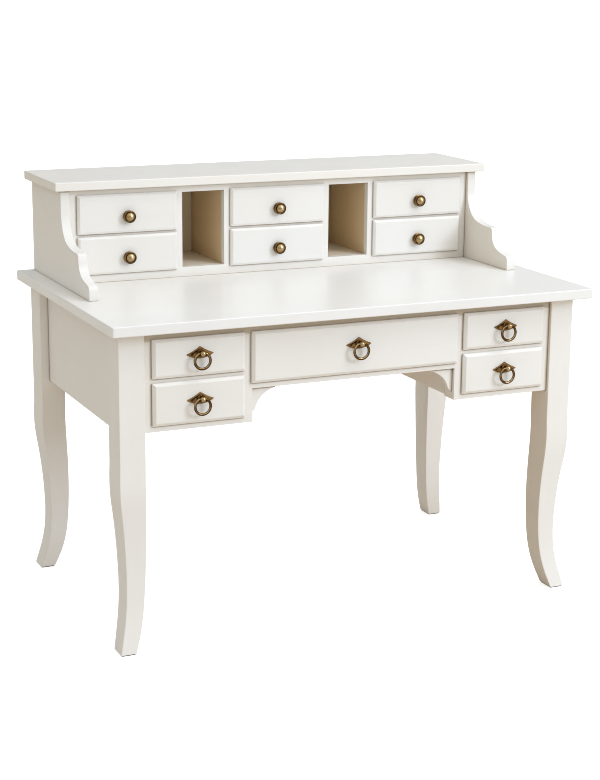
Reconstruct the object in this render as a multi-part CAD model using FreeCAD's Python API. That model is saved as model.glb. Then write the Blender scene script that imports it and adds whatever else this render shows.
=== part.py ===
import FreeCAD, Part
import os
import math

V = FreeCAD.Vector
os.makedirs("parts", exist_ok=True)

# ---------------------------------------------------------------------------
# Writing desk with a low hutch (bonheur du jour), painted wood, brass fittings.
# Millimetres.  X to the right, Y to the back, Z up.  Origin on the floor, in
# the middle of the footprint of the desk top.
# ---------------------------------------------------------------------------

# overall
W_TOP = 1200.0          # width of the desk top
D_TOP = 746.0           # depth of the desk top
Z_DESK = 760.0          # writing height
T_TOP = 23.5            # thickness of the desk top
Z_CAP = 1005.5          # total height
YF = -D_TOP / 2         # front edge of the desk top
YB = D_TOP / 2          # back edge of the desk top
Z_UND = Z_DESK - T_TOP  # underside of the desk top

# legs
LEG_W = 60.0            # width of the legs at the top, seen from the front
LEG_D = 74.0            # depth of the legs at the top, seen from the side
LEG_X = 573.0           # outer faces of the legs
LEG_YF = YF + 44.5      # front face of the front legs
LEG_YB = YB - 28.0      # back face of the rear legs
Z_BEND = 440.0          # the leg is straight above this height
GLIDE_T = 3.0           # foot glide

# inset of the outer faces (height, inset) and shift of the inner faces
# (height, inset; negative bulges inwards, positive moves to the outside)
LEG_OUT = [(440, 0.0), (420, -0.6), (400, -1.2), (380, -1.1), (360, 0.0), (340, 2.0), (320, 4.6), (280, 9.3),
           (240, 12.8), (200, 15.1), (160, 16.3), (125, 15.6), (90, 12.6), (60, 7.6), (30, 0.9), (3, -5.6)]
LEG_IN = [(440, 0.0), (400, 0.6), (350, -0.4), (300, -2.0), (250, -2.8), (210, -2.6), (170, -1.5), (130, 0.9),
          (95, 4.6), (65, 10.0), (35, 18.0), (3, 29.0)]

# base case
SIDE_X = 551.5          # outer face of the side aprons
T_APRON = 18.0
Z_APRON = 496.5         # lower edge of the side and back aprons
BACK_Y1 = YB - 36.0     # outer face of the back apron
FR_Y0 = YF + 53.0       # front plane of the base face frame
FR_T = 20.0
FR_Y1 = FR_Y0 + FR_T
Z_PED = 507.5           # lower edge of the pedestal fronts
Z_KNEE = 584.5          # lower edge of the centre rail
KNEE_X = 257.5          # half width of the kneehole
POST_D = 45.0           # depth of the inner posts
T_PED = 22.0            # pedestal sides
Z_PEDSIDE = 512.0

# base drawer fronts (outer sizes of the lipped fronts)
LIP = 3.5               # overlap of a lip on the frame
BX0, BX1 = 277.0, 495.0         # side drawers, inner and outer end
CX = 261.0                      # half width of the centre drawer front
Z_U0, Z_U1 = 628.0, 715.6       # upper side drawers
Z_L0, Z_L1 = 521.4, 618.1       # lower side drawers
Z_C0, Z_C1 = 598.0, 715.6       # centre drawer
PROUD_B = 11.0                  # lip stands this far in front of the frame
BEV_B = (6.5, 5.2)              # bevel: width on the face, depth
BOX_LEN_B = 480.0
T_SIDE_B = 12.0

# hutch
HU_X = 556.5            # outer faces of the hutch sides
T_HU = 22.0
HU_YB = YB - 5.0        # back edge of the hutch sides
CAP_X = 574.0
CAP_YF = 110.0
T_CAP = 20.5
Z_HU = Z_CAP - T_CAP    # top of the hutch sides
HF_Y0 = 136.0           # front plane of the hutch face frame
HF_T = 18.0
HF_Y1 = HF_Y0 + HF_T
HB_Y0, HB_Y1 = 356.0, 364.0     # hutch back panel
Z_FLOOR = 783.5         # pigeonhole floor
T_FLOOR = 12.0
Z_RAIL = 967.0          # underside of the hutch top rail
PROUD_H = 9.4
BEV_H = (5.5, 4.4)
HX = [(265.0, 515.0), (-126.2, 126.2)]          # drawer fronts: right column, centre column
PIG = (141.3, 250.0)                            # right pigeonhole
Z_HU0, Z_HU1 = 877.5, 970.5     # upper hutch drawers
Z_HL0, Z_HL1 = 780.0, 871.0     # lower hutch drawers
BOX_LEN_H = 195.0
T_SIDE_H = 9.0


# ---------------------------------------------------------------------------
# helpers
# ---------------------------------------------------------------------------

def box(x0, x1, y0, y1, z0, z1):
    return Part.makeBox(x1 - x0, y1 - y0, z1 - z0, V(x0, y0, z0))


def mx(s):
    return s.mirror(V(0, 0, 0), V(1, 0, 0))


def save(name, *shapes):
    shapes = list(shapes)
    s = shapes[0] if len(shapes) == 1 else Part.makeCompound(shapes)
    s.exportStep("parts/" + name + ".step")
    return s


def spline(pts, t0=None, t1=None):
    c = Part.BSplineCurve()
    kw = {"Points": pts}
    if t0 is not None:
        kw["InitialTangent"] = t0
        kw["FinalTangent"] = t1
    c.interpolate(**kw)
    return c.toShape()


def line(a, b):
    return Part.LineSegment(a, b).toShape()


def prism(edges, vec):
    """Close a list of plane edges into a face and push it along vec."""
    w = Part.Wire(Part.__sortEdges__(edges))
    return Part.Face(w).extrude(vec)


def edges_where(s, test):
    return [e for e in s.Edges if test(e)]


def chamfered_plate(x0, x1, z0, z1, ya, yb, bw, bd):
    """Plate between ya (front) and yb (back) whose front edges are bevelled:
    bw wide on the face, bd deep."""
    p0 = [V(x0, yb, z0), V(x1, yb, z0), V(x1, yb, z1), V(x0, yb, z1)]
    p1 = [V(x0, ya + bd, z0), V(x1, ya + bd, z0), V(x1, ya + bd, z1), V(x0, ya + bd, z1)]
    p2 = [V(x0 + bw, ya, z0 + bw), V(x1 - bw, ya, z0 + bw), V(x1 - bw, ya, z1 - bw), V(x0 + bw, ya, z1 - bw)]

    def face(pts):
        return Part.Face(Part.makePolygon(pts + [pts[0]]))
    faces = [face(p0), face(p2)]
    for i in range(4):
        j = (i + 1) % 4
        faces.append(face([p0[i], p0[j], p1[j], p1[i]]))
        faces.append(face([p1[i], p1[j], p2[j], p2[i]]))
    sh = Part.makeShell(faces)
    sh.sewShape()
    so = Part.makeSolid(sh)
    if so.Volume < 0:
        so.reverse()
    return so


# ---------------------------------------------------------------------------
# desk top and cap: boards with small plan corners and rounded edges
# ---------------------------------------------------------------------------

def board(x0, x1, y0, y1, z0, z1, rc, re):
    b = box(x0, x1, y0, y1, z0, z1)
    vert = edges_where(b, lambda e: abs(e.Vertexes[0].Z - e.Vertexes[1].Z) > 1)
    b = b.makeFillet(rc, vert)
    flat = edges_where(b, lambda e: abs(e.BoundBox.ZMax - e.BoundBox.ZMin) < 0.01)
    return b.makeFillet(re, flat)


desk_top = board(-W_TOP / 2, W_TOP / 2, YF, YB, Z_UND, Z_DESK, 5.0, 2.6)
save("desk_top", desk_top)
hutch_cap = board(-CAP_X, CAP_X, CAP_YF, YB, Z_HU, Z_CAP, 4.0, 2.4)
save("hutch_cap", hutch_cap)


# ---------------------------------------------------------------------------
# legs: the same S profile seen from the front and from the side
# ---------------------------------------------------------------------------

def leg_profile(along):
    """Face of the leg seen square on.  u runs inwards from the outer face.
    along is 'x' (u = X, plane y = -20) or 'y' (u = Y, plane x = -20)."""
    size = LEG_W if along == "x" else LEG_D

    def P(u, z):
        return V(u, -20, z) if along == "x" else V(-20, u, z)
    out = [P(o, z) for z, o in LEG_OUT]
    inn = [P(size - i, z) for z, i in LEG_IN]
    down = V(0, 0, -1)

    def tang(a, b):
        d = b - a
        d.normalize()
        return d
    e_out = spline(out, down, tang(out[-2], out[-1]))
    e_in = spline(inn, down, tang(inn[-2], inn[-1]))
    edges = [line(P(0, Z_UND), P(0, Z_BEND)), e_out, line(out[-1], inn[-1]), e_in,
             line(P(size, Z_BEND), P(size, Z_UND)), line(P(size, Z_UND), P(0, Z_UND))]
    vec = V(0, LEG_D + 40, 0) if along == "x" else V(LEG_W + 40, 0, 0)
    return prism(edges, vec)


leg = leg_profile("x").common(leg_profile("y"))
leg = leg.Solids[0]
long_edges = edges_where(leg, lambda e: e.BoundBox.ZMax - e.BoundBox.ZMin > 200)
try:
    leg = leg.makeFillet(1.8, long_edges)
except Exception as err:
    print("leg edges stay square:", err)
print("leg valid", leg.isValid(), "volume", round(leg.Volume), "edges rounded", len(long_edges))

# placed: front left leg has its outer faces at x = -LEG_X and y = LEG_YF
leg_fl = leg.copy()
leg_fl.translate(V(-LEG_X, LEG_YF, 0))
leg_rl = leg.mirror(V(0, 0, 0), V(0, 1, 0))
leg_rl.translate(V(-LEG_X, LEG_YB, 0))
save("leg_front_left", leg_fl)
save("leg_front_right", mx(leg_fl))
save("leg_rear_left", leg_rl)
save("leg_rear_right", mx(leg_rl))

# glides under the feet
g0 = LEG_OUT[-1][1] + 2.5
g1 = LEG_W - LEG_IN[-1][1] - 2.5
g1y = LEG_D - LEG_IN[-1][1] - 2.5
glides = []
for sx in (-1, 1):
    for front in (True, False):
        xa, xb = -LEG_X + g0, -LEG_X + g1
        if front:
            ya, yb = LEG_YF + g0, LEG_YF + g1y
        else:
            ya, yb = LEG_YB - g1y, LEG_YB - g0
        g = box(xa, xb, ya, yb, 0, GLIDE_T)
        glides.append(g if sx < 0 else mx(g))
save("foot_glides", *glides)

# ---------------------------------------------------------------------------
# aprons
# ---------------------------------------------------------------------------
ap = box(-SIDE_X, -SIDE_X + T_APRON, LEG_YF + LEG_D, LEG_YB - LEG_D, Z_APRON, Z_UND)
save("side_apron_left", ap)
save("side_apron_right", mx(ap))
XI = LEG_X - LEG_W      # inner faces of the legs
BACK_Y0 = BACK_Y1 - T_APRON
save("back_apron", box(-XI, XI, BACK_Y0, BACK_Y1, Z_APRON, Z_UND))

# ---------------------------------------------------------------------------
# base face frame: stiles and rails, each its own piece
# ---------------------------------------------------------------------------
OX0, OX1 = BX0 + LIP, BX1 - LIP       # side drawer opening (inner, outer)
frame = []
right = []
right.append(box(OX1, XI, FR_Y0, FR_Y1, Z_PED, Z_UND))                       # outer stile
right.append(box(KNEE_X, OX0, FR_Y0, FR_Y0 + POST_D, Z_PED, Z_UND))          # inner post
right.append(box(OX0, OX1, FR_Y0, FR_Y1, Z_PED, Z_L0 + LIP))                 # bottom rail
right.append(box(OX0, OX1, FR_Y0, FR_Y1, Z_L1 - LIP, Z_U0 + LIP))            # middle rail
right.append(box(OX0, OX1, FR_Y0, FR_Y1, Z_U1 - LIP, Z_UND))                 # top rail
frame += right + [mx(s) for s in right]
frame.append(box(-KNEE_X, KNEE_X, FR_Y0, FR_Y1, Z_KNEE, Z_C0 + LIP))         # centre rail
frame.append(box(-KNEE_X, KNEE_X, FR_Y0, FR_Y1, Z_C1 - LIP, Z_UND))          # top rail, centre
save("base_face_frame", *frame)

# pedestal sides, running from the posts to the back apron
ps = box(KNEE_X, KNEE_X + T_PED, FR_Y0 + POST_D, BACK_Y0, Z_PEDSIDE, Z_UND)
save("pedestal_sides", mx(ps), ps)

# kneehole brackets: concave, blunt upper tip, small toe below
BR_Y0 = FR_Y0 + 9.0
BR_T = 12.0
bru = [(58.0, 4.6), (48.0, 7.6), (38.0, 12.6), (28.8, 19.4), (22.0, 26.4), (17.2, 33.6),
       (13.8, 41.0), (11.4, 48.6)]


def bracket():
    def P(u, v):
        return V(-KNEE_X + u, BR_Y0, Z_KNEE - v)
    pts = [P(u, v) for u, v in bru]
    edges = [line(P(0, 0), P(61.5, 0)), line(P(61.5, 0), P(61.0, 3.0)), line(P(61.0, 3.0), pts[0]),
             spline(pts), line(pts[-1], P(8.6, 52.6)), line(P(8.6, 52.6), P(0, 59.0)),
             line(P(0, 59.0), P(0, 0))]
    return prism(edges, V(0, BR_T, 0))


br = bracket()
save("kneehole_brackets", br, mx(br))

# ---------------------------------------------------------------------------
# runners, guides and kickers of the base drawers
# ---------------------------------------------------------------------------
R_Y0, R_Y1 = FR_Y1, BACK_Y0
GAP = 2.0                     # side play of a drawer box in its opening
BXI, BXO = OX0 + GAP, OX1 - GAP       # box sides, inner and outer face (right pedestal)
PIN = KNEE_X + T_PED                  # drawer-side face of the pedestal side
zl, zu, zc = Z_L0 + LIP, Z_U0 + LIP, Z_C0 + LIP       # running heights
run = []
r = []
for z1, th in ((zl, zl - Z_PED), (zu, 18.0)):
    r.append(box(BXO - 16, XI, R_Y0, R_Y1, z1 - th, z1))                      # outer runner
    r.append(box(PIN, BXI + 12, FR_Y0 + POST_D, R_Y1, z1 - th, z1))           # inner runner
    r.append(box(OX1, XI, R_Y0, R_Y1, z1, z1 + 16))                           # outer guide
r.append(box(BXO - 14, XI, R_Y0, R_Y1, 705.0, Z_UND))                         # kicker, outer
r.append(box(PIN, BXI + 12, FR_Y0 + POST_D, R_Y1, 705.0, Z_UND))              # kicker, inner
r.append(box(KNEE_X - 16, KNEE_X, FR_Y1, R_Y1, zc - 17.0, zc))                # centre runner
r.append(box(KNEE_X - 16, KNEE_X, FR_Y1, R_Y1, 705.0, Z_UND))                 # centre kicker
run = r + [mx(s) for s in r]
save("base_drawer_runners", *run)

# ---------------------------------------------------------------------------
# drawers
# ---------------------------------------------------------------------------

def lipped_front(x0, x1, z0, z1, yface, proud, bev, depth, play):
    """Lip in front of the frame plane yface, block behind it in the opening."""
    gap = 0.3
    plate = chamfered_plate(x0, x1, z0, z1, yface - proud, yface - gap, bev[0], bev[1])
    block = box(x0 + LIP + play, x1 - LIP - play, yface - gap, yface + depth, z0 + LIP + play * 0.6,
                z1 - LIP - play)
    return plate.fuse(block).removeSplitter().Solids[0]


def drawer_box(x0, x1, y0, length, z0, h, t, tb, lift):
    """Two sides, a back and a bottom panel; the front board closes the box."""
    y1 = y0 + length
    left = box(x0, x0 + t, y0, y1, z0, z0 + h)
    right_ = box(x1 - t, x1, y0, y1, z0, z0 + h)
    back = box(x0 + t, x1 - t, y1 - t, y1, z0 + lift, z0 + h - 6)
    bottom = box(x0 + t, x1 - t, y0, y1 - t, z0 + lift, z0 + lift + tb)
    return [left, right_, back, bottom]


# ring pull -------------------------------------------------------------------
PLATE_T = 1.2           # thickness at the rim of the plate
PLATE_H = 2.6           # thickness of the raised middle
PIN_Y = 15.8            # hinge axis in front of the drawer face
BALL_Y = 18.5           # ball centre in front of the drawer face
BALL_R = 6.3
NECK_R = 4.4
RING_R = 18.0           # centre line of the ring
WIRE_R = 3.0
HOLE_R = 3.06
CHORD = 7.3             # half length of the straight pin at the top of the ring
PIN_UP = 3.2            # the pin lies this far above the tips of the plate


def ring_pull(cx, cz, yface):
    """Returns (plate, post, ring, pin height).  cz is the height of the plate's tips;
    yface is the plane of the drawer's face."""
    def outline(k, d):
        """Rim of the plate scaled by k about its middle, d in front of the face."""
        def P(u, w):
            return V(cx + k * u, yface - d, cz + 2.5 + k * (w - 2.5))
        lower = [P(-31, -0.6), P(-24, -4.4), P(-14, -8.0), P(0, -9.8), P(14, -8.0), P(24, -4.4), P(31, -0.6)]
        ul = spline([P(-31, 0.6), P(-20, 5.2), P(-9, 11.2), P(0, 17.0)])
        ur = spline([P(0, 17.0), P(9, 11.2), P(20, 5.2), P(31, 0.6)])
        return [ul, ur, line(P(31, 0.6), P(31, -0.6)), spline(lower[::-1]), line(P(-31, -0.6), P(-31, 0.6))]
    rim = Part.Face(Part.Wire(outline(1.0, 0.0))).extrude(V(0, -PLATE_T, 0))
    rise = Part.makeLoft([Part.Wire(outline(1.0, PLATE_T)), Part.Wire(outline(0.84, PLATE_H))], True, True)
    plate = rim.fuse(rise).removeSplitter().Solids[0]
    zp = cz + PIN_UP
    yv = V(0, -1, 0)
    shank = Part.makeCylinder(1.9, 13.0, V(cx, yface + 10.0, zp), yv)          # threaded into the front
    neck = Part.makeCylinder(NECK_R, BALL_Y - PLATE_H, V(cx, yface - PLATE_H, zp), yv)
    collar = Part.makeCone(7.0, 5.2, 2.6, V(cx, yface - PLATE_H, zp), yv)
    ball = Part.makeSphere(BALL_R, V(cx, yface - BALL_Y, zp))
    post = shank.fuse([neck, collar, ball])
    hole = Part.makeCylinder(HOLE_R, 24, V(cx - 12, yface - PIN_Y, zp), V(1, 0, 0))
    post = post.cut(hole).removeSplitter().Solids[0]
    plate = plate.cut(Part.makeCylinder(1.9, 8, V(cx, yface + 1, zp), yv))
    # ring: an arc closed by a straight pin along the hinge axis
    drop = math.sqrt(RING_R ** 2 - CHORD ** 2)
    zc_ = zp - drop
    yr = yface - PIN_Y
    a = V(cx - CHORD, yr, zp)
    b = V(cx + CHORD, yr, zp)
    low = V(cx, yr, zc_ - RING_R)
    arc = Part.Arc(b, low, a).toShape()
    # the arc is swept, the pin is a cylinder, a ball at each corner joins them
    tang = V((b - V(cx, yr, zc_)).z, 0, -(b - V(cx, yr, zc_)).x)
    sec = Part.Wire(Part.makeCircle(WIRE_R, b, tang))
    swept = Part.Wire(arc).makePipeShell([sec], True, True)
    pin = Part.makeCylinder(WIRE_R, 2 * CHORD, a, V(1, 0, 0))
    ring = pin.fuse([swept, Part.makeSphere(WIRE_R, a), Part.makeSphere(WIRE_R, b)])
    ring = ring.removeSplitter().Solids[0]
    return plate, post, ring, zp


# knob --------------------------------------------------------------------------
KNOB_DROP = 7.0         # the knobs sit this far below the middle of their drawer


def knob(cx, cz, yface):
    """Turned knob: base flange, neck, head rim, groove, dome; screw shank behind."""
    # (distance in front of the face, radius)
    f = yface

    def P(d, rr):
        return V(cx + rr, f - d, cz)
    # the dome is part of a sphere whose centre lies on the axis
    d0, r0, d1 = 14.4, 10.7, 21.6
    dc = (d1 ** 2 - d0 ** 2 - r0 ** 2) / (2 * (d1 - d0))
    dr = d1 - dc
    mid = math.atan2(r0, d0 - dc) / 2
    dome = P(dc + dr * math.cos(mid), dr * math.sin(mid))
    e = [line(P(-9, 0), P(-9, 1.9)), line(P(-9, 1.9), P(0, 1.9)), line(P(0, 1.9), P(0, 12.8)),
         Part.Arc(P(0, 12.8), P(1.3, 13.9), P(2.8, 13.1)).toShape(),
         line(P(2.8, 13.1), P(3.4, 11.2)),
         Part.Arc(P(3.4, 11.2), P(6.4, 8.2), P(9.6, 10.6)).toShape(),
         line(P(9.6, 10.6), P(10.9, 13.5)),
         Part.Arc(P(10.9, 13.5), P(12.7, 14.8), P(14.5, 13.6)).toShape(),
         line(P(14.5, 13.6), P(13.1, 12.2)),
         line(P(13.1, 12.2), P(12.9, 11.4)),
         line(P(12.9, 11.4), P(d0, r0)),
         Part.Arc(P(d0, r0), dome, P(d1, 0)).toShape(),
         line(P(d1, 0), P(-9, 0))]
    skins = [x.revolve(V(cx, f, cz), V(0, 1, 0), 360) for x in e[:-1]]
    sh = Part.makeShell([fc for sk in skins for fc in sk.Faces])
    sh.sewShape()
    s = Part.makeSolid(sh)
    if s.Volume < 0:
        s.reverse()
    return s


report = []


def base_drawer(name, x0, x1, z0, z1, boxz, h, tipz):
    yb = FR_Y0 + 12.5
    front = lipped_front(x0, x1, z0, z1, FR_Y0, PROUD_B, BEV_B, 12.5, 1.5)
    save(name + "_front", front)
    parts = drawer_box(x0 + LIP + GAP, x1 - LIP - GAP, yb, BOX_LEN_B, boxz, h, T_SIDE_B, 6.0, 7.0)
    save(name + "_box", *parts)
    plate, post, ring, zp = ring_pull((x0 + x1) / 2, tipz, FR_Y0 - PROUD_B)
    save(name + "_pull", plate, post)
    save(name + "_ring", ring)
    inner = [x0 + LIP + GAP + T_SIDE_B + 1, x1 - LIP - GAP - T_SIDE_B - 1, yb + 1, yb + BOX_LEN_B - T_SIDE_B - 1,
             boxz + 14.0, boxz + h]
    report.append((name, (x0 + x1) / 2, FR_Y0 - PROUD_B - PIN_Y, zp, inner, front.isValid(), post.isValid(),
                   ring.isValid(), round(ring.Volume), round(post.Volume), round(plate.Volume)))


def hutch_drawer(name, x0, x1, z0, z1, boxz, h):
    yb = HF_Y0 + 11.0
    front = lipped_front(x0, x1, z0, z1, HF_Y0, PROUD_H, BEV_H, 11.0, 1.2)
    save(name + "_front", front)
    parts = drawer_box(x0 + LIP + 1.7, x1 - LIP - 1.7, yb, BOX_LEN_H, boxz, h, T_SIDE_H, 4.0, 5.0)
    save(name + "_box", *parts)
    k = knob((x0 + x1) / 2, (z0 + z1) / 2 - KNOB_DROP, HF_Y0 - PROUD_H)
    save(name + "_knob", k)
    inner = [x0 + LIP + 1.7 + T_SIDE_H + 1, x1 - LIP - 1.7 - T_SIDE_H - 1, yb + 1, yb + BOX_LEN_H - T_SIDE_H - 1,
             boxz + 10.0, boxz + h]
    report.append((name, 0, 0, 0, inner, front.isValid(), k.isValid(), round(k.Volume)))


UP = 0.4       # running play under a box
base_drawer("drawer_left_upper", -BX1, -BX0, Z_U0, Z_U1, zu + UP, 70.0, 671.8 + 6.0)
base_drawer("drawer_left_lower", -BX1, -BX0, Z_L0, Z_L1, zl + UP, 76.0, 569.8 + 5.5)
base_drawer("drawer_centre", -CX, CX, Z_C0, Z_C1, zc + UP, 98.0, 656.8 + 10.0)
base_drawer("drawer_right_upper", BX0, BX1, Z_U0, Z_U1, zu + UP, 70.0, 671.8 + 6.0)
base_drawer("drawer_right_lower", BX0, BX1, Z_L0, Z_L1, zl + UP, 76.0, 569.8 + 5.5)

# ---------------------------------------------------------------------------
# hutch
# ---------------------------------------------------------------------------

def hutch_side():
    """Left side panel; front edge: concave sweep, square step, second sweep, foot."""
    x = -HU_X

    def P(y, z):
        return V(x, y, z)
    a = [P(126.5, 934.0), P(123.4, 912.0), P(113.8, 890.6), P(97.3, 872.7), P(72.0, 861.9), P(41.5, 857.1),
         P(10.0, 855.8)]
    c = [P(-3.2, 835.1), P(-7.4, 822.5), P(-17.7, 810.7), P(-34.1, 802.6), P(-51.9, 798.1), P(-67.2, 795.1)]
    edges = [line(P(126.5, Z_HU), a[0]), spline(a, V(0, 0, -1), V(0, -1, -0.02)),
             Part.Arc(a[-1], P(2.8, 854.5), P(-1.2, 850.3)).toShape(),
             line(P(-1.2, 850.3), c[0]),
             spline(c, V(0, -0.1, -1), V(0, -1, -0.22)),
             Part.Arc(c[-1], P(-77.2, 790.9), P(-81.2, 782.5)).toShape(),
             line(P(-81.2, 782.5), P(-81.2, Z_DESK)), line(P(-81.2, Z_DESK), P(HU_YB, Z_DESK)),
             line(P(HU_YB, Z_DESK), P(HU_YB, Z_HU)), line(P(HU_YB, Z_HU), P(126.5, Z_HU))]
    return prism(edges, V(T_HU, 0, 0))


hs = hutch_side()
print("hutch side valid", hs.isValid())
save("hutch_side_left", hs)
save("hutch_side_right", mx(hs))
HXI = HU_X - T_HU       # inner faces of the hutch sides

# floor of the hutch on four bearers
ZF0 = Z_FLOOR - T_FLOOR
floor = [box(-HXI, HXI, HF_Y1, HB_Y0, ZF0, Z_FLOOR)]
for bx in (-395.0, -132.0, 132.0, 395.0):
    floor.append(box(bx - 20, bx + 20, HF_Y1, HB_Y0, Z_DESK, ZF0))
save("hutch_floor", *floor)

# face frame of the hutch
(hx0, hx1), (cx0, cx1) = HX
A0, A1 = PIG[1], hx0 + LIP          # stile between pigeonhole and outer drawers
B0, B1 = cx1 - LIP, PIG[0]          # stile between pigeonhole and centre drawers
hf = []
r = [box(hx1 - LIP, HXI, HF_Y0, HF_Y1, Z_FLOOR, Z_RAIL),
     box(A0, A1, HF_Y0, HF_Y1, Z_FLOOR, Z_RAIL),
     box(B0, B1, HF_Y0, HF_Y1, Z_FLOOR, Z_RAIL),
     box(A1, hx1 - LIP, HF_Y0, HF_Y1, Z_HL1 - LIP, Z_HU0 + LIP)]
hf += r + [mx(s) for s in r]
hf.append(box(-B0, B0, HF_Y0, HF_Y1, Z_HL1 - LIP, Z_HU0 + LIP))
hf.append(box(-HXI, HXI, HF_Y0, HF_Y1, Z_DESK, Z_FLOOR))
hf.append(box(-HXI, HXI, HF_Y0, HF_Y1, Z_RAIL, Z_HU))
save("hutch_face_frame", *hf)

# partitions behind the inner stiles
pt = [box(A0, A1, HF_Y1, HB_Y0, Z_FLOOR, Z_HU), box(B0, B1, HF_Y1, HB_Y0, Z_FLOOR, Z_HU)]
save("hutch_partitions", *(pt + [mx(s) for s in pt]))

# dividers between upper and lower drawers, side guides of the outer columns, kickers
zdiv = Z_HU0 + LIP
dv = []
d = [box(A1, HXI, HF_Y1, HB_Y0, zdiv - 12.0, zdiv),
     box(hx1 - LIP, HXI, HF_Y1, HB_Y0, Z_FLOOR, Z_FLOOR + 14),
     box(hx1 - LIP, HXI, HF_Y1, HB_Y0, zdiv, zdiv + 14),
     box(A1, A1 + 12, HF_Y1, HB_Y0, 962.0, Z_HU),
     box(hx1 - LIP - 14, HXI, HF_Y1, HB_Y0, 962.0, Z_HU)]
dv += d + [mx(s) for s in d]
dv.append(box(-B0, B0, HF_Y1, HB_Y0, zdiv - 12.0, zdiv))
dv.append(box(B0 - 12, B0, HF_Y1, HB_Y0, 962.0, Z_HU))
dv.append(box(-B0, -B0 + 12, HF_Y1, HB_Y0, 962.0, Z_HU))
save("hutch_drawer_dividers", *dv)

save("hutch_back", box(-HXI, HXI, HB_Y0, HB_Y1, Z_DESK, Z_HU))

for nm, (x0, x1) in (("left", (-hx1, -hx0)), ("centre", (cx0, cx1)), ("right", (hx0, hx1))):
    hutch_drawer("hutch_drawer_%s_upper" % nm, x0, x1, Z_HU0, Z_HU1, zdiv + 0.4, 72.0)
    hutch_drawer("hutch_drawer_%s_lower" % nm, x0, x1, Z_HL0, Z_HL1, Z_FLOOR + 0.4, 72.0)

# ---------------------------------------------------------------------------
# screws: six from the kickers up into the top, six from below the top into
# the bearers of the hutch
# ---------------------------------------------------------------------------

def screw(x, y, z0, length):
    head = Part.makeCone(4.2, 2.1, 3.2, V(x, y, z0), V(0, 0, 1))
    shank = Part.makeCylinder(2.1, length - 3.2 - 4.0, V(x, y, z0 + 3.2), V(0, 0, 1))
    tip = Part.makeCone(2.1, 0.4, 4.0, V(x, y, z0 + length - 4.0), V(0, 0, 1))
    return head.fuse([shank, tip]).removeSplitter().Solids[0]


sc = []
for sx in (-1, 1):
    for y in (-180.0, 60.0, 280.0):
        sc.append(screw(sx * (XI - 10.0), y, 705.2, 45.0))
for x in (-395.0, -132.0, 132.0, 395.0):
    for y in (235.0, 320.0):
        sc.append(screw(x, y, Z_UND + 0.2, 40.0))
save("fixing_screws", *sc)

for row in report:
    print(row)
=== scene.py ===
import math

import bmesh
import bpy
from mathutils import Matrix, Vector


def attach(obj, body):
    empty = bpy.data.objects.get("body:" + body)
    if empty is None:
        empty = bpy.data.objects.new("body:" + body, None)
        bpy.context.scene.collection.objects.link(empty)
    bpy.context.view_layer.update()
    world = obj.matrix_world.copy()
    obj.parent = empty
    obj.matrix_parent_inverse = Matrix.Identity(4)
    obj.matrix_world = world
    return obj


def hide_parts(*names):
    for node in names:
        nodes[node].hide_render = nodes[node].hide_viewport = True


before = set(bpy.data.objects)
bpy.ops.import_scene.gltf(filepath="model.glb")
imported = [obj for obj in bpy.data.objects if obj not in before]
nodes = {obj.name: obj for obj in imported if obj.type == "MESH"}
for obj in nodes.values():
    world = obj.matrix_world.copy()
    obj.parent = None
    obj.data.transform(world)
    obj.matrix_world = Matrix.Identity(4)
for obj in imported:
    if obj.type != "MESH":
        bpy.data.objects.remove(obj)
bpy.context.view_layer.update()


# ---------------------------------------------------------------------------
# small helpers for shader trees
# ---------------------------------------------------------------------------

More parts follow.
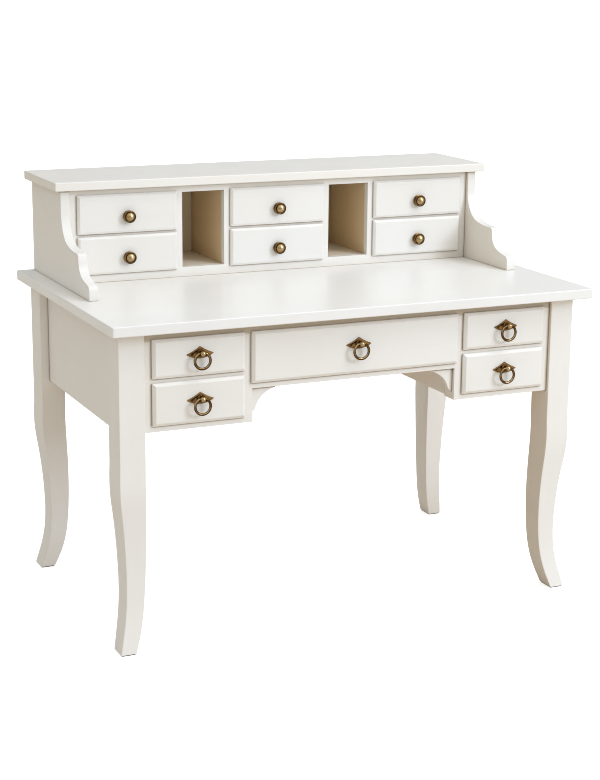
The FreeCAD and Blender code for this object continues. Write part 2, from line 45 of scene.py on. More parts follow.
class Tree:
    """Builds a shader tree with short calls."""

    def __init__(self, name):
        self.mat = bpy.data.materials.new(name)
        self.mat.use_nodes = True
        self.nt = self.mat.node_tree
        self.bsdf = self.nt.nodes["Principled BSDF"]
        self.out = self.nt.nodes["Material Output"]
        self.coords = self.new("ShaderNodeTexCoord").outputs["Object"]

    def new(self, kind, **props):
        n = self.nt.nodes.new(kind)
        for k, v in props.items():
            setattr(n, k, v)
        return n

    def put(self, socket, value):
        """Link an output, or set a plain value."""
        if isinstance(value, bpy.types.NodeSocket):
            self.nt.links.new(value, socket)
        else:
            socket.default_value = value

    def math(self, op, a, b=0.0, clamp=False):
        n = self.new("ShaderNodeMath", operation=op, use_clamp=clamp)
        self.put(n.inputs[0], a)
        self.put(n.inputs[1], b)
        return n.outputs[0]

    def vmath(self, op, a, b=(0, 0, 0)):
        n = self.new("ShaderNodeVectorMath", operation=op)
        self.put(n.inputs[0], a)
        if op == "SCALE":
            self.put(n.inputs["Scale"], b)
        else:
            self.put(n.inputs[1], b)
        return n.outputs["Value"] if op in ("DOT_PRODUCT", "LENGTH") else n.outputs["Vector"]

    def stretch(self, scale, offset=(0, 0, 0), source=None):
        n = self.new("ShaderNodeMapping")
        self.put(n.inputs["Vector"], source or self.coords)
        n.inputs["Scale"].default_value = scale
        n.inputs["Location"].default_value = offset
        return n.outputs["Vector"]

    def noise(self, scale=1.0, detail=3.0, rough=0.5, vec=None, distortion=0.0):
        n = self.new("ShaderNodeTexNoise", noise_dimensions="3D")
        self.put(n.inputs["Vector"], vec or self.coords)
        n.inputs["Scale"].default_value = scale
        n.inputs["Detail"].default_value = detail
        n.inputs["Roughness"].default_value = rough
        n.inputs["Distortion"].default_value = distortion
        return n.outputs["Fac"]

    def remap(self, value, a, b, c, d, smooth=False):
        n = self.new("ShaderNodeMapRange", clamp=True, interpolation_type="SMOOTHSTEP" if smooth else "LINEAR")
        self.put(n.inputs["Value"], value)
        for name, x in zip(("From Min", "From Max", "To Min", "To Max"), (a, b, c, d)):
            n.inputs[name].default_value = x
        return n.outputs["Result"]

    def ramp(self, value, stops):
        n = self.new("ShaderNodeValToRGB")
        self.put(n.inputs["Fac"], value)
        el = n.color_ramp.elements
        while len(el) > 1:
            el.remove(el[-1])
        el[0].position, el[0].color = stops[0][0], (*stops[0][1], 1)
        for p, c in stops[1:]:
            e = el.new(p)
            e.color = (*c, 1)
        return n.outputs["Color"]

    def mix(self, fac, a, b, blend="MIX"):
        n = self.new("ShaderNodeMix", data_type="RGBA", blend_type=blend, clamp_factor=True)
        self.put(n.inputs[0], fac)
        for s, v in ((n.inputs[6], a), (n.inputs[7], b)):
            self.put(s, v if isinstance(v, bpy.types.NodeSocket) else (*v, 1))
        return n.outputs[2]

    def cavity(self, distance, samples=6):
        """1 in the open, towards 0 in gaps and corners."""
        n = self.new("ShaderNodeAmbientOcclusion", samples=samples)
        n.inputs["Distance"].default_value = distance
        return n.outputs["AO"]

    def shadow_side_cavity(self, distance, samples=12, lean=(0.30, 0.0, 0.74)):
        """Like cavity, but it looks up and to the right of the surface, towards the lamps: dark
        under and left of a raised edge, where a painted shadow falls."""
        g = self.new("ShaderNodeNewGeometry").outputs["Normal"]
        to = self.vmath("NORMALIZE", self.vmath("ADD", g, lean))
        n = self.new("ShaderNodeAmbientOcclusion", samples=samples)
        n.inputs["Distance"].default_value = distance
        self.put(n.inputs["Normal"], to)
        # a tilted dome always loses the part that lies behind the surface
        most = self.math("MULTIPLY", self.math("ADD", self.vmath("DOT_PRODUCT", g, to), 1.0), 0.5)
        return self.math("DIVIDE", n.outputs["AO"], most)

    def edge(self, radius, samples=4):
        """0 on flat faces, rising over rounded edges."""
        b = self.new("ShaderNodeBevel", samples=samples)
        b.inputs["Radius"].default_value = radius
        g = self.new("ShaderNodeNewGeometry")
        dot = self.vmath("DOT_PRODUCT", b.outputs["Normal"], g.outputs["Normal"])
        return self.math("SUBTRACT", 1.0, dot, clamp=True)

    def bumps(self, *layers):
        """Chained bump nodes: (height, distance in metres, strength)."""
        last = None
        for height, distance, strength in layers:
            n = self.new("ShaderNodeBump")
            n.inputs["Strength"].default_value = strength
            n.inputs["Distance"].default_value = distance
            self.put(n.inputs["Height"], height)
            if last is not None:
                self.put(n.inputs["Normal"], last)
            last = n.outputs["Normal"]
        self.put(self.bsdf.inputs["Normal"], last)


AXES = {"X": (1, 0, 0), "Y": (0, 1, 0), "Z": (0, 0, 1)}


def along(axis, length_scale, cross_scale):
    """Scale vector that stretches a pattern along one axis."""
    return tuple(length_scale if axis == a else cross_scale for a in "XYZ")


# ---------------------------------------------------------------------------
# materials
# ---------------------------------------------------------------------------

def paint(name, axis, seed, rough=0.36, coat=0.12, coat_rough=0.20, tone=(0.882, 0.856, 0.820), brush=1.0,
          corner_shade=(0.600, 0.500, 0.365), gap=0.024, depth=0.30, crease_shade=(0.230, 0.155, 0.085), crease_shade_depth=0.92,
          side_shading=(), shade_kept_facing_up=(0.25, 1.0), overhang_band=None, overhang_shade_tone=None):
    """Satin lacquer over wood: faint brush lines along the board, a very fine
    orange peel, slow waviness, a warm painted shade in corners and a dark painted
    shade in the narrow gaps.  side_shading = (direction, tint) pairs: faces that
    look that way, as into the hutch, take the tint, painted light or painted shade.  shade_kept_facing_up = what is
    left of the gap shade and
    of the corner shade on faces that look up, where light from above falls; overhang_band = (from, to):
    heights over which that ends, close under the desk top, and where the paint
    itself goes over to overhang_shade_tone, a brown painted shade under the overhang."""
    t = Tree(name)
    off = (seed * 0.37, seed * 0.91, seed * 0.53)
    slow = t.noise(2.6, 3.0, 0.55, t.stretch((1, 1, 1), off))
    cloud = t.noise(9.0, 4.0, 0.6, t.stretch(along(axis, 0.45, 1.0), off))
    lines = t.noise(1.0, 3.0, 0.55, t.stretch(along(axis, 5.0, 170.0), off))
    patchy = t.noise(38.0, 3.0, 0.6, t.stretch((1, 1, 1), off))

    warm = tuple(c * k for c, k in zip(tone, (0.992, 0.985, 0.968)))
    cool = tuple(min(c * k, 1) for c, k in zip(tone, (1.008, 1.010, 1.014)))
    col = t.mix(t.remap(slow, 0.32, 0.68, 0.0, 1.0, True), warm, cool)
    dim = tuple(c * k for c, k in zip(tone, (0.962, 0.954, 0.935)))
    col = t.mix(t.remap(cloud, 0.48, 0.80, 0.0, 0.60, True), col, dim)
    col = t.mix(t.remap(lines, 0.50, 0.78, 0.0, 0.22 * brush, True), col, dim)
    # painted light and shade: faces that look a given way take a lighter or darker tint for how the lamps reach them
    for way, tint in side_shading:
        looks = t.vmath("DOT_PRODUCT", t.new("ShaderNodeTexCoord").outputs["Normal"], way)
        col = t.mix(t.remap(looks, 0.3, 0.8, 0.0, 1.0), col, t.mix(t.remap(cloud, 0.4, 0.8, 0.0, 1.0, True), tint,
                                                                  tuple(c * 0.95 for c in tint)))
    # painted shade is weaker on faces that look up, where light from above falls
    looks_up = t.new("ShaderNodeSeparateXYZ")
    t.put(looks_up.inputs[0], t.new("ShaderNodeNewGeometry").outputs["Normal"])
    keep_crease_shade = t.remap(looks_up.outputs["Z"], 0.30, 0.85, 1.0, shade_kept_facing_up[0], True)
    keep_corner_shade = t.remap(looks_up.outputs["Z"], 0.30, 0.85, 1.0, shade_kept_facing_up[1], True)
    # close under the desk top: painted shade of the overhang, full gap and corner shade and a brown tone
    if overhang_band:
        place = t.new("ShaderNodeSeparateXYZ")
        t.put(place.inputs[0], t.coords)
        overhang_shade_mask = t.remap(place.outputs["Z"], overhang_band[0], overhang_band[1], 0.0, 1.0, True)
        keep_crease_shade = t.math("MAXIMUM", keep_crease_shade, overhang_shade_mask)
        keep_corner_shade = t.math("MAXIMUM", keep_corner_shade, overhang_shade_mask)
        if overhang_shade_tone:
            col = t.mix(t.math("MULTIPLY", overhang_shade_mask, t.remap(patchy, 0.30, 0.75, 0.90, 1.0)), col, overhang_shade_tone)
    # painted shade: warm brown towards corners and gaps, from a wide occlusion test
    corner_shade_amount = t.math("MULTIPLY", t.remap(t.cavity(gap, 8), 0.30, 0.95, depth, 0.0, True),
                  t.remap(patchy, 0.30, 0.75, 0.80, 1.0))
    col = t.mix(t.math("MULTIPLY", corner_shade_amount, keep_corner_shade), col, corner_shade)
    # painted shadow: dark brown in the narrow gaps, strongest under and left of raised edges, as if lit from the upper
    # right
    crease_shade_amount = t.math("MULTIPLY", t.remap(t.shadow_side_cavity(0.0070), 0.32, 0.92, crease_shade_depth, 0.0, True),
                   t.remap(patchy, 0.30, 0.75, 0.88, 1.0))
    crease_shade_amount = t.math("MULTIPLY", crease_shade_amount, keep_crease_shade)
    col = t.mix(crease_shade_amount, col, crease_shade)
    t.put(t.bsdf.inputs["Base Color"], col)

    r = t.remap(t.noise(24.0, 3.0, 0.6, t.stretch((1, 1, 1), off)), 0.3, 0.7, rough - 0.03, rough + 0.04, True)
    r = t.math("ADD", r, t.remap(lines, 0.4, 0.7, -0.008, 0.02))
    t.put(t.bsdf.inputs["Roughness"], t.math("ADD", r, t.math("MULTIPLY", crease_shade_amount, 0.25)))
    t.bsdf.inputs["IOR"].default_value = 1.46
    t.bsdf.inputs["Coat Weight"].default_value = coat
    t.bsdf.inputs["Coat Roughness"].default_value = coat_rough
    peel = t.noise(300.0, 2.0, 0.5)
    t.bumps((t.noise(7.0, 2.0, 0.5, t.stretch((1, 1, 1), off)), 0.0010, 0.06),
            (lines, 0.00010, 0.08 * brush), (peel, 0.00004, 0.10))
    return t.mat


def wood(name, axis, seed, light=(0.70, 0.515, 0.325), dark=(0.545, 0.355, 0.195), ply=False):
    """Unfinished light wood: growth rings cut along the board, pores, a few
    darker streaks, painted shade in corners."""
    t = Tree(name)
    off = (seed * 0.61, seed * 0.27, seed * 0.83)
    warp = t.noise(1.0, 2.0, 0.5, t.stretch(along(axis, 1.6, 6.0), off))
    base = t.stretch(along(axis, 0.55, 13.0 if not ply else 9.0), off)
    w = t.new("ShaderNodeTexWave", wave_type="RINGS", rings_direction="SPHERICAL", wave_profile="SAW")
    t.put(w.inputs["Vector"], base)
    w.inputs["Scale"].default_value = 1.7
    w.inputs["Distortion"].default_value = 5.5
    w.inputs["Detail"].default_value = 3.0
    w.inputs["Detail Scale"].default_value = 0.9
    rings = w.outputs["Fac"]
    fibre = t.noise(1.0, 5.0, 0.7, t.stretch(along(axis, 9.0, 520.0), off))
    pores = t.noise(1.0, 2.0, 0.5, t.stretch(along(axis, 40.0, 900.0), off))
    late = t.remap(rings, 0.35, 1.0, 0.0, 0.85, True)
    col = t.mix(late, light, dark)
    col = t.mix(t.remap(fibre, 0.35, 0.75, 0.0, 0.45), col, tuple(c * 0.74 for c in light))
    col = t.mix(t.remap(warp, 0.4, 0.75, 0.0, 0.35, True), col, tuple(min(c * 1.12, 1) for c in light))
    col = t.mix(t.remap(pores, 0.62, 0.72, 0.0, 0.30), col, tuple(c * 0.55 for c in dark))
    # painted shade: darker in the corners of the boxes
    corner_shade_wood = t.remap(t.cavity(0.03, 4), 0.3, 0.9, 0.45, 0.0, True)
    col = t.mix(corner_shade_wood, col, tuple(c * 0.62 for c in light))
    t.put(t.bsdf.inputs["Base Color"], col)
    t.put(t.bsdf.inputs["Roughness"], t.remap(fibre, 0.3, 0.7, 0.55, 0.74))
    t.bsdf.inputs["IOR"].default_value = 1.42
    t.bumps((late, 0.0002, 0.18), (fibre, 0.00015, 0.35), (pores, 0.0001, 0.25))
    return t.mat


def brass(name, seed, bright=(0.640, 0.450, 0.215), mid=(0.330, 0.200, 0.082), dark=(0.045, 0.022, 0.006),
          rough=0.27, proud=None, deep=0.92, reach=0.006, pits=0.35, worn=0.45, front=None, under=None,
          coat=0.0, coat_rough=0.14, rim=(0.22, 0.15, 0.08), lit_side=None):
    """Lacquered antique brass: brown patina, nearly black in the hollows,
    rubbed bright on proud edges and proud parts, with a painted highlight on the side towards the lamps.
    proud = (y where the polish is full, y where it has faded);
    front = (direction, dark below, plain above, rubbed from, bright above):
    a painted highlight where the surface looks that way and a painted shade,
    dark as a reflection, where it looks away, and the same for a sixth item, a second direction; under = reach of the
    painted shadow below and left of raised parts.
    lit_side = (direction, from, to, least): polish, a painted highlight, is strongest on that side.
    Directions and places are in the part's own frame.  rim = tint of the
    grazing reflections, dulled by the lacquer."""
    t = Tree(name)
    off = (seed * 0.7, seed * 0.3, seed * 0.9)
    blot = t.noise(90.0, 3.0, 0.6, t.stretch((1, 1, 1), off))
    fine = t.noise(640.0, 3.0, 0.6, t.stretch((1, 1, 1), off))
    hollow = t.remap(t.cavity(reach, 12), 0.45, 1.0, 1.0, 0.0, True)
    rub = t.remap(t.edge(0.0008, 4), 0.02, 0.20, 0.0, 1.0)
    if proud:
        sep = t.new("ShaderNodeSeparateXYZ")
        t.put(sep.inputs[0], t.coords)
        polish = t.remap(sep.outputs["Y"], proud[0], proud[1], 1.0, 0.0, True)
        polish = t.math("MULTIPLY", polish, t.remap(blot, 0.30, 0.70, 0.86, 1.0))
    else:
        polish = t.remap(blot, 0.40, 0.72, 0.0, worn, True)
    # painted highlight: polish is raised on the side that faces the lamps
    if lit_side:
        side = t.vmath("DOT_PRODUCT", t.new("ShaderNodeTexCoord").outputs["Normal"], tuple(Vector(lit_side[0]).normalized()))
        polish = t.math("MULTIPLY", polish, t.remap(side, lit_side[1], lit_side[2], lit_side[3], 1.0, True))
    # painted highlight: a bright band where the surface faces the given direction
    if front:
        look = t.new("ShaderNodeTexCoord").outputs["Normal"]
        facing = t.vmath("DOT_PRODUCT", look, tuple(Vector(front[0]).normalized()))
        if len(front) > 5:
            facing = t.math("MAXIMUM", facing, t.vmath("DOT_PRODUCT", look, tuple(Vector(front[5]).normalized())))
        polish = t.math("MAXIMUM", polish, t.math("MULTIPLY", t.remap(facing, front[3], front[4], 0.0, 0.95, True),
                                                  t.remap(blot, 0.30, 0.60, 0.55, 1.0)))
    low = t.mix(t.remap(blot, 0.36, 0.66, 0.0, 1.0, True), tuple(c * 0.78 for c in mid), mid)
    col = t.mix(polish, low, bright)
    col = t.mix(t.remap(fine, 0.55, 0.76, 0.0, pits), col, dark)
    # painted shade: dark where the surface faces away from the given direction, like a dark reflection
    if front:
        col = t.mix(t.remap(facing, front[1], front[2], 1.0, 0.0, True), col, dark)
    col = t.mix(t.math("MULTIPLY", hollow, deep), col, dark)
    # painted shadow below and left of the ball, post and ring
    if under:
        col = t.mix(t.remap(t.shadow_side_cavity(under), 0.30, 0.90, 0.95, 0.0, True), col, tuple(c * 0.6 for c in dark))
    col = t.mix(t.math("MULTIPLY", rub, 0.35), col, tuple(min(c * 1.35, 1) for c in bright))
    t.put(t.bsdf.inputs["Base Color"], col)
    t.bsdf.inputs["Metallic"].default_value = 1.0
    t.bsdf.inputs["Coat Weight"].default_value = coat
    t.bsdf.inputs["Coat Roughness"].default_value = coat_rough
    t.bsdf.inputs["Specular Tint"].default_value = (*rim, 1)
    r = t.math("ADD", t.remap(blot, 0.3, 0.7, rough + 0.04, rough - 0.03), t.math("MULTIPLY", hollow, 0.20))
    t.put(t.bsdf.inputs["Roughness"], t.math("ADD", r, t.remap(fine, 0.45, 0.7, 0.0, 0.06)))
    t.bumps((blot, 0.0003, 0.04), (fine, 0.00006, 0.10))
    return t.mat


def steel(name):
    t = Tree(name)
    n = t.noise(240.0, 4.0, 0.6)
    col = t.mix(t.remap(n, 0.35, 0.7, 0.0, 1.0), (0.52, 0.51, 0.49), (0.36, 0.35, 0.32))
    # painted shade: darker in the recesses of the heads
    col = t.mix(t.remap(t.cavity(0.003, 4), 0.3, 0.9, 0.8, 0.0), col, (0.10, 0.09, 0.08))
    t.put(t.bsdf.inputs["Base Color"], col)
    t.bsdf.inputs["Metallic"].default_value = 1.0
    t.put(t.bsdf.inputs["Roughness"], t.remap(n, 0.3, 0.7, 0.26, 0.42))
    t.bumps((t.noise(900.0, 2.0, 0.5), 0.00004, 0.25))
    return t.mat


def plastic(name):
    t = Tree(name)
    n = t.noise(700.0, 3.0, 0.6)
    s = t.noise(60.0, 4.0, 0.6)
    col = t.mix(t.remap(s, 0.35, 0.7, 0.0, 1.0), (0.085, 0.066, 0.050), (0.150, 0.122, 0.096))
    t.put(t.bsdf.inputs["Base Color"], col)
    t.put(t.bsdf.inputs["Roughness"], t.remap(n, 0.3, 0.7, 0.48, 0.66))
    t.bumps((n, 0.00006, 0.4), (s, 0.0002, 0.2))
    return t.mat


PAINT = {
    # desk top: painted light, its left and front edges lighter
    "desk_top": paint("paint_desk_top", "X", 1, rough=0.40, coat=0.22, coat_rough=0.22, brush=0.7,
                      tone=(0.882, 0.860, 0.827), side_shading=(((-1, 0, 0), (0.935, 0.930, 0.915)),
                                                         ((0, -1, 0), (0.900, 0.892, 0.875)))),
    "cap": paint("paint_cap", "X", 2, rough=0.38, coat=0.16, brush=0.7, tone=(0.882, 0.850, 0.804)),
    "x": paint("paint_along_x", "X", 3),
    # base frame: brown painted shade in the band close under the desk top
    "x_base": paint("paint_base_frame", "X", 13, crease_shade_depth=0.88, overhang_band=(0.7075, 0.7145),
                    overhang_shade_tone=(0.560, 0.485, 0.395)),
    "x_hutch": paint("paint_hutch_frame", "X", 14, crease_shade_depth=0.74, shade_kept_facing_up=(0.10, 0.5)),
    "y": paint("paint_along_y", "Y", 4),
    "z": paint("paint_along_z", "Z", 5),
    # painted shade: the right hutch side, the right front leg and the hutch back darker and browner on faces that look
    # into the pigeonholes or the kneehole
    "side_right": paint("paint_side_right", "Y", 11, side_shading=(((-1, 0, 0), (0.820, 0.765, 0.675)),)),
    "leg_right": paint("paint_leg_right", "Z", 18, side_shading=(((-1, 0, 0), (0.800, 0.735, 0.645)),)),
    "back": paint("paint_back", "X", 12, side_shading=(((0, -1, 0), (0.780, 0.660, 0.480)),)),
    # drawer fronts: painted light, faces that look down lighter as if lit from the floor
    **{"front_" + k: paint("paint_front_" + k, "X", n, tone=(0.882, 0.860, 0.829), depth=0.16, shade_kept_facing_up=(0.0, 0.3),
                           crease_shade_depth=0.96, overhang_band=(0.7000, 0.7080),
                           side_shading=(((0, 0, -1), (0.975, 0.955, 0.925)),)) for n, k in enumerate("abc", 6)},
    **{"hutch_front_" + k: paint("paint_hutch_front_" + k, "X", n, tone=(0.862, 0.838, 0.803), depth=0.05,
                                 crease_shade_depth=0.74, shade_kept_facing_up=(0.0, 0.3), side_shading=(((0, 0, -1), (0.965, 0.945, 0.915)),))
       for n, k in enumerate("abc", 15)},
    # painted shade: the hutch floor and partitions in darker, warmer copies of the white paint, the partitions brown
    # as a painted warm reflection too, with stronger corner shade
    "inside": paint("paint_inside_shaded", "Y", 9, tone=(0.850, 0.780, 0.670), gap=0.05, depth=0.65,
                    corner_shade=(0.600, 0.470, 0.310)),
    "wall": paint("paint_wall_shaded", "Y", 10, tone=(0.775, 0.602, 0.375), gap=0.05, depth=0.65,
                  corner_shade=(0.520, 0.360, 0.190)),
}
WOOD_Y = wood("wood_along_y", "Y", 1)
WOOD_RUN = wood("wood_runner", "Y", 4, light=(0.64, 0.47, 0.30), dark=(0.50, 0.33, 0.19))
KNOB_FACE, PULL_FACE = 0.1266, -0.3310          # planes of the drawer faces
# knob: painted highlight to the upper right and painted shade where it faces away; ring: painted highlight band and
# painted dark reflection at the edges; plate: painted shadow under the ball and ring
BRASS_KNOB = brass("antique_brass_knob", 1, proud=(KNOB_FACE - 0.0150, KNOB_FACE - 0.0144), mid=(0.290, 0.165, 0.054),
                   bright=(0.660, 0.485, 0.260), rough=0.30, pits=0.12, deep=0.65, reach=0.0028, coat=0.30,
                   front=((-0.45, -0.75, 0.48), -0.30, 0.50, 1.10, 1.20), lit_side=((0.30, -0.80, 0.50), 0.55, 0.95, 0.50))
BRASS_RING = brass("antique_brass_ring", 2, mid=(0.190, 0.103, 0.034), bright=(0.700, 0.510, 0.280), rough=0.15,
                   worn=0.35, reach=0.005, pits=0.15,
                   front=((-0.45, -0.75, 0.48), 0.40, 0.84, 0.84, 0.98, (-0.45, 0.75, -0.48)))
BRASS_PLATE = brass("antique_brass_plate", 3, proud=(PULL_FACE - 0.0238, PULL_FACE - 0.0150), reach=0.009,
                    bright=(0.590, 0.430, 0.245), mid=(0.350, 0.208, 0.084), rough=0.21, pits=0.12, under=0.022)
STEEL = steel("screw_steel")
GLIDE = plastic("glide_nylon")


# ---------------------------------------------------------------------------
# finish of the CAD nodes: clean edges, small rounded arrises, materials
# ---------------------------------------------------------------------------

def plain_normals():
    """Geometry group: joins the seams between faces and drops stored normals;
    edges over 32 degrees stay sharp, the rest is shaded smooth."""
    g = bpy.data.node_groups.new("plain_normals", "GeometryNodeTree")
    g.interface.new_socket("Geometry", in_out="INPUT", socket_type="NodeSocketGeometry")
    g.interface.new_socket("Geometry", in_out="OUTPUT", socket_type="NodeSocketGeometry")
    gi, go = g.nodes.new("NodeGroupInput"), g.nodes.new("NodeGroupOutput")
    merge = g.nodes.new("GeometryNodeMergeByDistance")
    merge.inputs["Distance"].default_value = 2e-6
    setn = g.nodes.new("GeometryNodeSetMeshNormal")
    setn.mode = "SHARPNESS"
    setn.inputs["Remove Custom"].default_value = True
    setn.inputs["Face Sharpness"].default_value = False
    ang = g.nodes.new("GeometryNodeInputMeshEdgeAngle")
    cmp_ = g.nodes.new("FunctionNodeCompare")
    cmp_.data_type, cmp_.operation = "FLOAT", "GREATER_THAN"
    cmp_.inputs[1].default_value = math.radians(32)
    g.links.new(gi.outputs[0], merge.inputs["Geometry"])
    g.links.new(merge.outputs["Geometry"], setn.inputs["Mesh"])
    g.links.new(ang.outputs["Unsigned Angle"], cmp_.inputs[0])
    # where two boards touch, more than two faces meet in one edge: keep them apart as well
    near = g.nodes.new("GeometryNodeInputMeshEdgeNeighbors")
    many = g.nodes.new("FunctionNodeCompare")
    many.data_type, many.operation = "INT", "GREATER_THAN"
    g.links.new(near.outputs["Face Count"], many.inputs[2])
    many.inputs[3].default_value = 2
    either = g.nodes.new("FunctionNodeBooleanMath")
    either.operation = "OR"
    g.links.new(cmp_.outputs[0], either.inputs[0])
    g.links.new(many.outputs[0], either.inputs[1])
    g.links.new(either.outputs[0], setn.inputs["Edge Sharpness"])
    g.links.new(setn.outputs["Mesh"], go.inputs[0])
    return g


SEAMS = plain_normals()


def arris(obj, width, segments=2, join=True):
    """Rounds the sharp edges of a board by width metres."""
    if join:
        m = obj.modifiers.new("seams", "NODES")
        m.node_group = SEAMS
        d = obj.modifiers.new("flat", "DECIMATE")
        d.decimate_type = "DISSOLVE"
        d.angle_limit = math.radians(0.4)
        d.use_dissolve_boundaries = False
    b = obj.modifiers.new("arris", "BEVEL")
    b.limit_method = "ANGLE"
    b.angle_limit = math.radians(28)
    b.width = width
    b.segments = segments
    b.offset_type = "OFFSET"
    b.use_clamp_overlap = True
    b.harden_normals = True
    b.miter_outer = "MITER_SHARP"
    return obj


def wear(obj, material):
    """Gives every slot of an object the material."""
    for s in obj.material_slots:
        s.link = "OBJECT"
        s.material = material
    return obj


# ---------------------------------------------------------------------------
# face frames as one painted surface each
# ---------------------------------------------------------------------------

def cell_solid(name, xs, ys, zs, solid, material, width=0.0010, body="carcass", stands_for=None):
    """Closed mesh from the solid cells of a grid (millimetres), coplanar
    faces merged, edges rounded."""
    bm = bmesh.new()
    verts = {}

    def v(i, j, k):
        if (i, j, k) not in verts:
            verts[i, j, k] = bm.verts.new((xs[i] / 1000, ys[j] / 1000, zs[k] / 1000))
        return verts[i, j, k]
    nx, ny, nz = len(xs) - 1, len(ys) - 1, len(zs) - 1
    full = {(i, j, k) for i in range(nx) for j in range(ny) for k in range(nz)
            if solid((xs[i] + xs[i + 1]) / 2, (ys[j] + ys[j + 1]) / 2, (zs[k] + zs[k + 1]) / 2)}
    for i, j, k in sorted(full):
        c = [v(i + a, j + b, k + d) for a in (0, 1) for b in (0, 1) for d in (0, 1)]
        for step, idx in (((-1, 0, 0), (0, 1, 3, 2)), ((1, 0, 0), (4, 6, 7, 5)), ((0, -1, 0), (0, 4, 5, 1)),
                          ((0, 1, 0), (2, 3, 7, 6)), ((0, 0, -1), (0, 2, 6, 4)), ((0, 0, 1), (1, 5, 7, 3))):
            if (i + step[0], j + step[1], k + step[2]) not in full:
                bm.faces.new([c[n] for n in idx])
    bmesh.ops.dissolve_limit(bm, angle_limit=0.01, verts=bm.verts[:], edges=bm.edges[:])
    bmesh.ops.recalc_face_normals(bm, faces=bm.faces[:])
    for f in bm.faces:
        f.smooth = True
    me = bpy.data.meshes.new(name)
    bm.to_mesh(me)
    bm.free()
    me.materials.append(material)
    ob = bpy.data.objects.new(name, me)
    bpy.context.scene.collection.objects.link(ob)
    arris(ob, width, 3, join=False)
    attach(ob, body)
    if stands_for:
        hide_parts(stands_for)
    return ob


def mirror(values):
    return sorted({-v for v in values} | set(values))


def base_frame_cell(x, y, z):
    x = abs(x)
    if y > -300.0:                                   # behind the frame: the deep inner posts only
        return 257.5 < x < 280.5
    if x > 491.5 or 257.5 < x < 280.5:
        return True
    if x > 280.5:
        return z < 524.9 or 614.6 < z < 631.5 or z > 712.1
    return 584.5 < z < 601.5 or z > 712.1


cell_solid("base_face_frame_finished", mirror([257.5, 280.5, 491.5, 513.0]), [-320.0, -300.0, -275.0],
           [507.5, 524.9, 584.5, 601.5, 614.6, 631.5, 712.1, 736.5], base_frame_cell, PAINT["x_base"],
           stands_for="base_face_frame")


def hutch_frame_cell(x, y, z):
    x = abs(x)
    if z < 783.5 or z > 967.0 or x > 511.5 or 250.0 < x < 268.5 or 122.7 < x < 141.3:
        return True
    if x > 268.5 or x < 122.7:
        return 867.5 < z < 881.0
    return False


cell_solid("hutch_face_frame_finished", mirror([122.7, 141.3, 250.0, 268.5, 511.5, 534.5]), [136.0, 154.0],
           [760.0, 783.5, 867.5, 881.0, 967.0, 985.0], hutch_frame_cell, PAINT["x_hutch"], width=0.0009,
           stands_for="hutch_face_frame")


# ---------------------------------------------------------------------------
# carried-over CAD nodes
# ---------------------------------------------------------------------------

GRAIN = {
    "desk_top": "desk_top", "hutch_cap": "cap",
    "leg_front_left": "z", "leg_front_right": "leg_right", "leg_rear_left": "z", "leg_rear_right": "z",
    "side_apron_left": "y", "side_apron_right": "y", "back_apron": "x", "pedestal_sides": "y",
    "kneehole_brackets": "x", "hutch_side_left": "y", "hutch_side_right": "side_right", "hutch_back": "back",
    "hutch_floor": "inside", "hutch_partitions": "wall",
}
ROUNDED = {
    "side_apron_left": 0.0010, "side_apron_right": 0.0010, "back_apron": 0.0010, "pedestal_sides": 0.0010,
    "kneehole_brackets": 0.0010, "hutch_side_left": 0.0014, "hutch_side_right": 0.0014,
    "hutch_partitions": 0.0006, "hutch_floor": 0.0006,
}
fronts = 0
for name, ob in sorted(nodes.items()):
    if name in ROUNDED:
        arris(ob, ROUNDED[name], 3)
    if name in GRAIN:
        wear(ob, PAINT[GRAIN[name]])
    elif name.endswith("_front"):
        arris(ob, 0.0008, 3)
        wear(ob, PAINT[("hutch_front_" if name.startswith("hutch") else "front_") + "abc"[fronts % 3]])
        fronts += 1
    elif name.endswith("_box") or name == "hutch_drawer_dividers":
        arris(ob, 0.0007, 2)
        wear(ob, WOOD_Y)
    elif name == "base_drawer_runners":
        arris(ob, 0.0008, 2)
        wear(ob, WOOD_RUN)
    elif name.endswith("_knob"):
        wear(ob, BRASS_KNOB)
    elif name.endswith("_ring"):
        wear(ob, BRASS_RING)
    elif name.endswith("_pull"):
        wear(ob, BRASS_PLATE)
    elif name == "fixing_screws":
        wear(ob, STEEL)
    elif name == "foot_glides":
        arris(ob, 0.0005, 2)
        wear(ob, GLIDE)


# ---------------------------------------------------------------------------
# camera
# ---------------------------------------------------------------------------

def make_camera():
    f, width, height = 1744.407, 600, 780
    yaw, pitch, roll = (math.radians(a) for a in (24.4765, 14.0223, 0.5131))
    fw = Vector((math.sin(yaw) * math.cos(pitch), math.cos(yaw) * math.cos(pitch), -math.sin(pitch)))
    rt = Vector((math.cos(yaw), -math.sin(yaw), 0))
    up = rt.cross(fw)
    rt2 = rt * math.cos(roll) + up * math.sin(roll)
    up2 = up * math.cos(roll) - rt * math.sin(roll)
    cam = bpy.data.cameras.new("camera")
    cam.sensor_width = 36.0
    cam.lens = f * 36.0 / max(width, height)
    cam.clip_start, cam.clip_end = 0.1, 2000.0
    ob = bpy.data.objects.new("camera", cam)
    bpy.context.scene.collection.objects.link(ob)
    m = Matrix.Identity(4)
    for r in range(3):
        m[r][0], m[r][1], m[r][2] = rt2[r], up2[r], -fw[r]
    m.translation = Vector((-1.724874, -3.799962, 1.524944))
    ob.matrix_world = m
    bpy.context.scene.camera = ob


make_camera()


# ---------------------------------------------------------------------------
# floor and light
# ---------------------------------------------------------------------------

def plane(name, z, half):
    me = bpy.data.meshes.new(name)
    me.from_pydata([(-half, -half, z), (half, -half, z), (half, half, z), (-half, half, z)], [], [(0, 1, 2, 3)])
    ob = bpy.data.objects.new(name, me)
    bpy.context.scene.collection.objects.link(ob)
    return ob


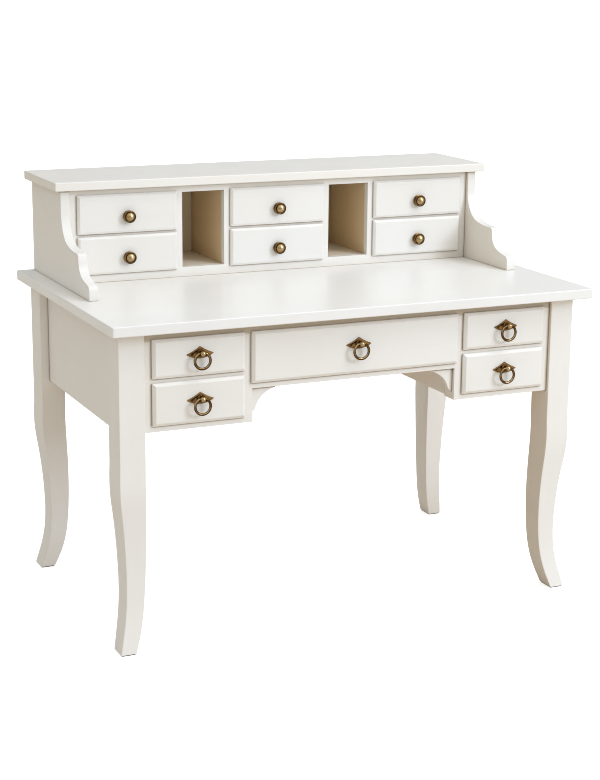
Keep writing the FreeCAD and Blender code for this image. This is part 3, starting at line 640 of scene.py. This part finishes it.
def make_floor():
    """A pale seamless floor as the lens sees it, over a warmer one that does
    the bouncing, so that the room under the desk is shaded."""
    seen = plane("floor", 0.0, 100.0)
    t = Tree("studio_floor")
    t.bsdf.inputs["Base Color"].default_value = (0.86, 0.86, 0.86, 1)
    t.bsdf.inputs["Roughness"].default_value = 0.9
    t.bsdf.inputs["Specular IOR Level"].default_value = 0.0
    t.bsdf.inputs["Emission Color"].default_value = (1, 1, 1, 1)
    t.bsdf.inputs["Emission Strength"].default_value = 0.62
    t.mat.cycles.emission_sampling = "NONE"
    seen.data.materials.append(t.mat)
    seen.visible_diffuse = False
    seen.visible_glossy = False
    seen.visible_shadow = False
    bounce = plane("floor_bounce", -0.001, 100.0)
    t = Tree("studio_floor_bounce")
    t.bsdf.inputs["Base Color"].default_value = (0.66, 0.58, 0.48, 1)
    t.bsdf.inputs["Roughness"].default_value = 0.9
    t.bsdf.inputs["Specular IOR Level"].default_value = 0.0
    bounce.data.materials.append(t.mat)
    bounce.visible_camera = False
    bounce.visible_shadow = False


make_floor()


def make_backdrop():
    """White hall round the studio, for the lens only: it neither lights nor
    shades anything."""
    bm = bmesh.new()
    bmesh.ops.create_icosphere(bm, subdivisions=5, radius=60.0)
    bmesh.ops.reverse_faces(bm, faces=bm.faces[:])
    for f in bm.faces:
        f.smooth = True
    me = bpy.data.meshes.new("backdrop")
    bm.to_mesh(me)
    bm.free()
    ob = bpy.data.objects.new("backdrop", me)
    bpy.context.scene.collection.objects.link(ob)
    t = Tree("studio_backdrop")
    t.bsdf.inputs["Base Color"].default_value = (0, 0, 0, 1)
    t.bsdf.inputs["Roughness"].default_value = 1.0
    t.bsdf.inputs["Specular IOR Level"].default_value = 0.0
    t.bsdf.inputs["Emission Color"].default_value = (1, 1, 1, 1)
    t.bsdf.inputs["Emission Strength"].default_value = 1.05
    t.mat.cycles.emission_sampling = "NONE"
    me.materials.append(t.mat)
    for way in ("diffuse", "glossy", "transmission", "volume_scatter", "shadow"):
        setattr(ob, "visible_" + way, False)


make_backdrop()


# brightness of the studio by direction: even part, then what each side adds
SURROUND = {
    "even": (0.175, 0.175, 0.168),
    "front": (0.090, 0.090, 0.080),
    "right": (0.270, 0.285, 0.310),
    "left": (0.188, 0.202, 0.200),
    "up": (0.640, 0.655, 0.660),
    "down": (0.000, 0.000, 0.000),
}
SIDES = {"front": (0, -1, 0), "right": (1, 0, 0), "left": (-1, 0, 0), "up": (0, 0, 1), "down": (0, 0, -1)}
LAMPS = [
    ("key_right", (4.26, -5.60, 3.67), (0, 0, 0.7), (2.6, 2.6), 232.0, (0.755, 0.855, 1.0)),
    ("top_front", (2.71, -3.25, 6.04), (-0.1, -0.3, 0.75), (2.5, 2.5), 80.0, (1.0, 0.99, 0.97)),
]


def make_world():
    """Soft studio surround: a smooth bright area on each side of the room."""
    w = bpy.data.worlds.new("studio")
    bpy.context.scene.world = w
    w.use_nodes = True
    nt = w.node_tree
    bg = nt.nodes["Background"]
    geo = nt.nodes.new("ShaderNodeTexCoord")
    total = nt.nodes.new("ShaderNodeCombineXYZ")
    for k, v in zip("XYZ", SURROUND["even"]):
        total.inputs[k].default_value = v
    last = total.outputs[0]
    for side, axis in SIDES.items():
        dot = nt.nodes.new("ShaderNodeVectorMath")
        dot.operation = "DOT_PRODUCT"
        nt.links.new(geo.outputs["Generated"], dot.inputs[0])
        dot.inputs[1].default_value = axis
        soft = nt.nodes.new("ShaderNodeMapRange")
        soft.interpolation_type = "SMOOTHSTEP"
        soft.inputs["From Min"].default_value = 0.0
        soft.inputs["From Max"].default_value = 0.9
        nt.links.new(dot.outputs["Value"], soft.inputs["Value"])
        add = nt.nodes.new("ShaderNodeVectorMath")
        add.operation = "MULTIPLY_ADD"
        nt.links.new(soft.outputs["Result"], add.inputs[0])
        add.inputs[1].default_value = SURROUND[side]
        nt.links.new(last, add.inputs[2])
        last = add.outputs["Vector"]
    nt.links.new(last, bg.inputs["Color"])
    bg.inputs["Strength"].default_value = 1.0


make_world()


def softbox(name, at, aim, size, power, color=(1, 1, 1)):
    l = bpy.data.lights.new(name, "AREA")
    l.shape = "RECTANGLE"
    l.size, l.size_y = size
    l.energy = power
    l.color = color
    ob = bpy.data.objects.new(name, l)
    bpy.context.scene.collection.objects.link(ob)
    ob.location = at
    ob.rotation_mode = "QUATERNION"
    ob.rotation_quaternion = (Vector(aim) - Vector(at)).to_track_quat("-Z", "Y")
    return ob


for lamp in LAMPS:
    softbox(*lamp)

scene = bpy.context.scene
scene.view_settings.view_transform = "Standard"
scene.view_settings.look = "None"
scene.view_settings.exposure = 0.0
scene.view_settings.gamma = 1.0
scene.cycles.filter_width = 1.0
